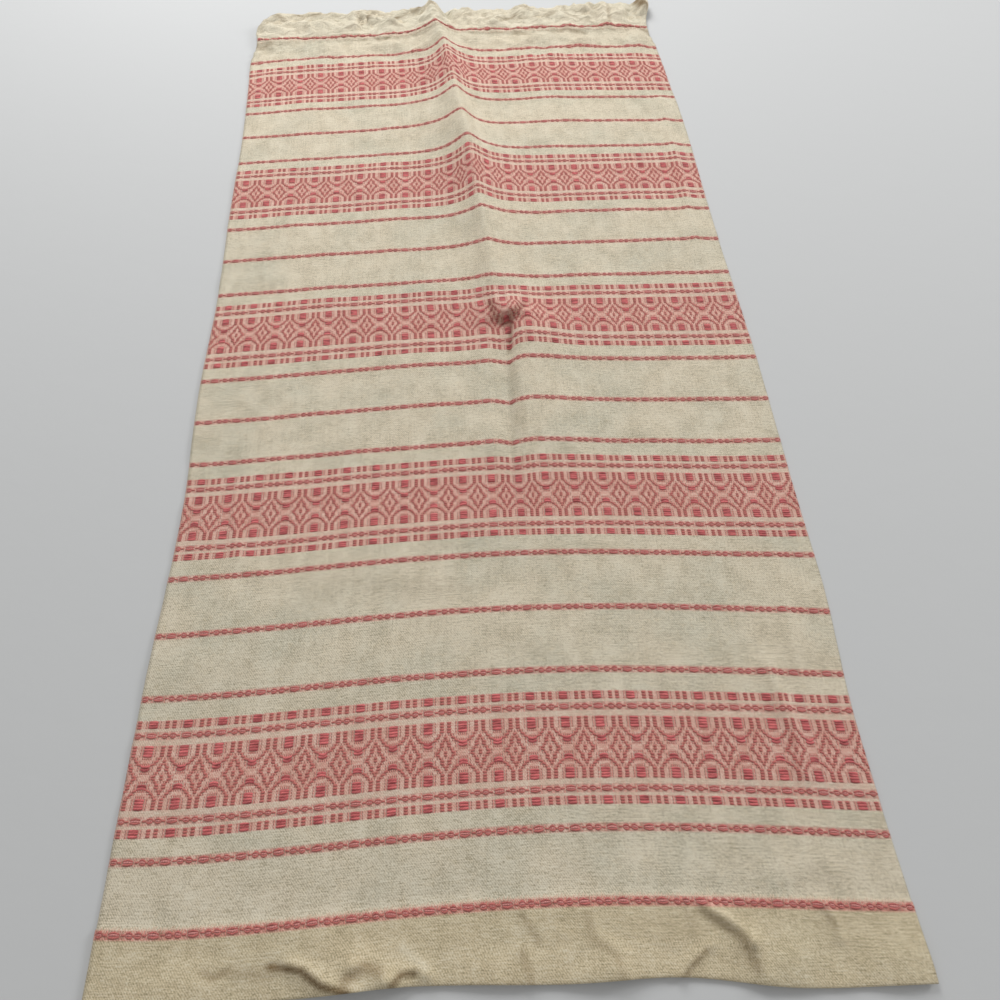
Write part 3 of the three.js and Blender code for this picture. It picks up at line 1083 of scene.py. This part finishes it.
def yarnMaterial(name, colours):
    board = Board(name)
    u, v = weaveCoordinates(board)
    # "lie" is 1 on a long float, near 0 on a dot, and more than 1 on the pale threads of a chain
    lie = board.node("ShaderNodeAttribute", {"attribute_name": "lie"}, None, out=2)
    pale = lie > 1.1
    twistU, twistV = yarnLook["twist"]
    twist = (u * twistU + v * twistV).sine() * 0.5 + 0.5
    patch, fibre = board.cloudy(u, v, *tones["yarnPatch"]), board.cloudy(u, v, *tones["fibre"])
    colour = board.mix(((patch - 0.5) * 3.6 + 0.58).clamp(0.0, 1.0), colours["dark"], colours["light"])
    colour = board.mix(((fibre - 0.45) * 1.6).clamp(0.0, 0.6), colour, colours["faded"])
    colour = board.mix((1.2 - lie * 1.3).clamp(0.0, 0.85), colour, colours["short"])
    colour = board.mix(pale * 0.8, colour, colours["faded"])
    tick = (u * (2 * math.pi / yarnLook["tickStep"])).sine() * 0.5 + 0.5
    colour = board.mix(tick * pale * 0.28, colour, colours["gap"])
    colour = board.mix((lie < 0.05) * 0.8, colour, colours["dot"])
    # painted shade in the grooves of the twist
    colour = board.mix((1.0 - twist) * 0.22, colour, colours["gap"])
    # painted shade along the pressed creases, on the yarns
    dark = board.node("ShaderNodeAttribute", {"attribute_name": "pressed"}, None, out=2)
    colour = board.mix(dark.clamp(0.0, 0.9), colour, cream["hollowWithPaintedShade"], "MULTIPLY")
    return board.finish(colour, 0.85, twist + fibre * 0.8, yarnLook["depth"], 0.2)


topCloth = clothMaterial("wovenCloth", False)
backCloth = clothMaterial("wovenClothBack", True)
redYarn = yarnMaterial("redPatternYarn", red)
hemThread = yarnMaterial("hemThread", {
    "light": hue(240, 222, 198), "dark": hue(222, 194, 172), "faded": hue(240, 218, 204),
    "short": hue(232, 206, 184), "dot": hue(232, 206, 184), "gap": hue(150, 112, 98),
})
sheetMesh.materials.append(topCloth)
sheetMesh.materials.append(backCloth)

for piece in patternPieces:
    piece.data.materials.append(redYarn)
for piece in stitchPieces:
    piece.data.materials.append(hemThread)
threadPieces = [*patternPieces, *stitchPieces]
for piece in [sheet, *threadPieces]:
    bpy.context.scene.collection.objects.link(piece)
    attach(piece, "root")
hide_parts("runner_cloth")
print("materials made")

studio = {
    "floor": hue(203, 204, 204),
    "floorDrop": 0.3,           # mm below the cloth
    "floorReach": 4.0,          # metres to either side
    "floorGrain": 40.0,         # specks to the metre
    "sky": (1.0, 1.0, 1.0, 1.0),
    "skyStrength": 0.43,
    # place in metres, size, power
    "lamps": {"window": ((-0.25, 1.2, 1.0), 0.8, 15.4), "side": ((2.3, 0.8, 1.15), 0.8, 24.0)},
}

bm = bmesh.new()
bmesh.ops.create_grid(bm, x_segments=1, y_segments=1, size=studio["floorReach"])
bmesh.ops.translate(bm, verts=bm.verts, vec=(0, 0, -studio["floorDrop"] * mm))
floorMesh = bpy.data.meshes.new("floor")
bm.to_mesh(floorMesh)
bm.free()
floor = bpy.data.objects.new("floor", floorMesh)
bpy.context.scene.collection.objects.link(floor)
paper = Board("paleFloor")
onFloor = paper.node("ShaderNodeTexCoord", None, None, out=3)
speckled = {"Vector": onFloor, "Scale": studio["floorGrain"], "Detail": 3.0}
softness = paper.node("ShaderNodeTexNoise", None, speckled)
floorMesh.materials.append(paper.finish(studio["floor"], 0.9, softness, 0.0002, 0.0))

world = bpy.data.worlds.new("studio")
bpy.context.scene.world = world
world.use_nodes = True
world.node_tree.nodes["Background"].inputs["Color"].default_value = studio["sky"]
world.node_tree.nodes["Background"].inputs["Strength"].default_value = studio["skyStrength"]

for name, (place, size, power) in studio["lamps"].items():
    lampData = bpy.data.lights.new(name, "AREA")
    lampData.size = size
    lampData.energy = power
    lamp = bpy.data.objects.new(name, lampData)
    bpy.context.scene.collection.objects.link(lamp)
    lamp.location = place
    lamp.rotation_euler = (-Vector(place)).to_track_quat("-Z", "Y").to_euler()
bpy.context.scene.view_settings.view_transform = "Standard"
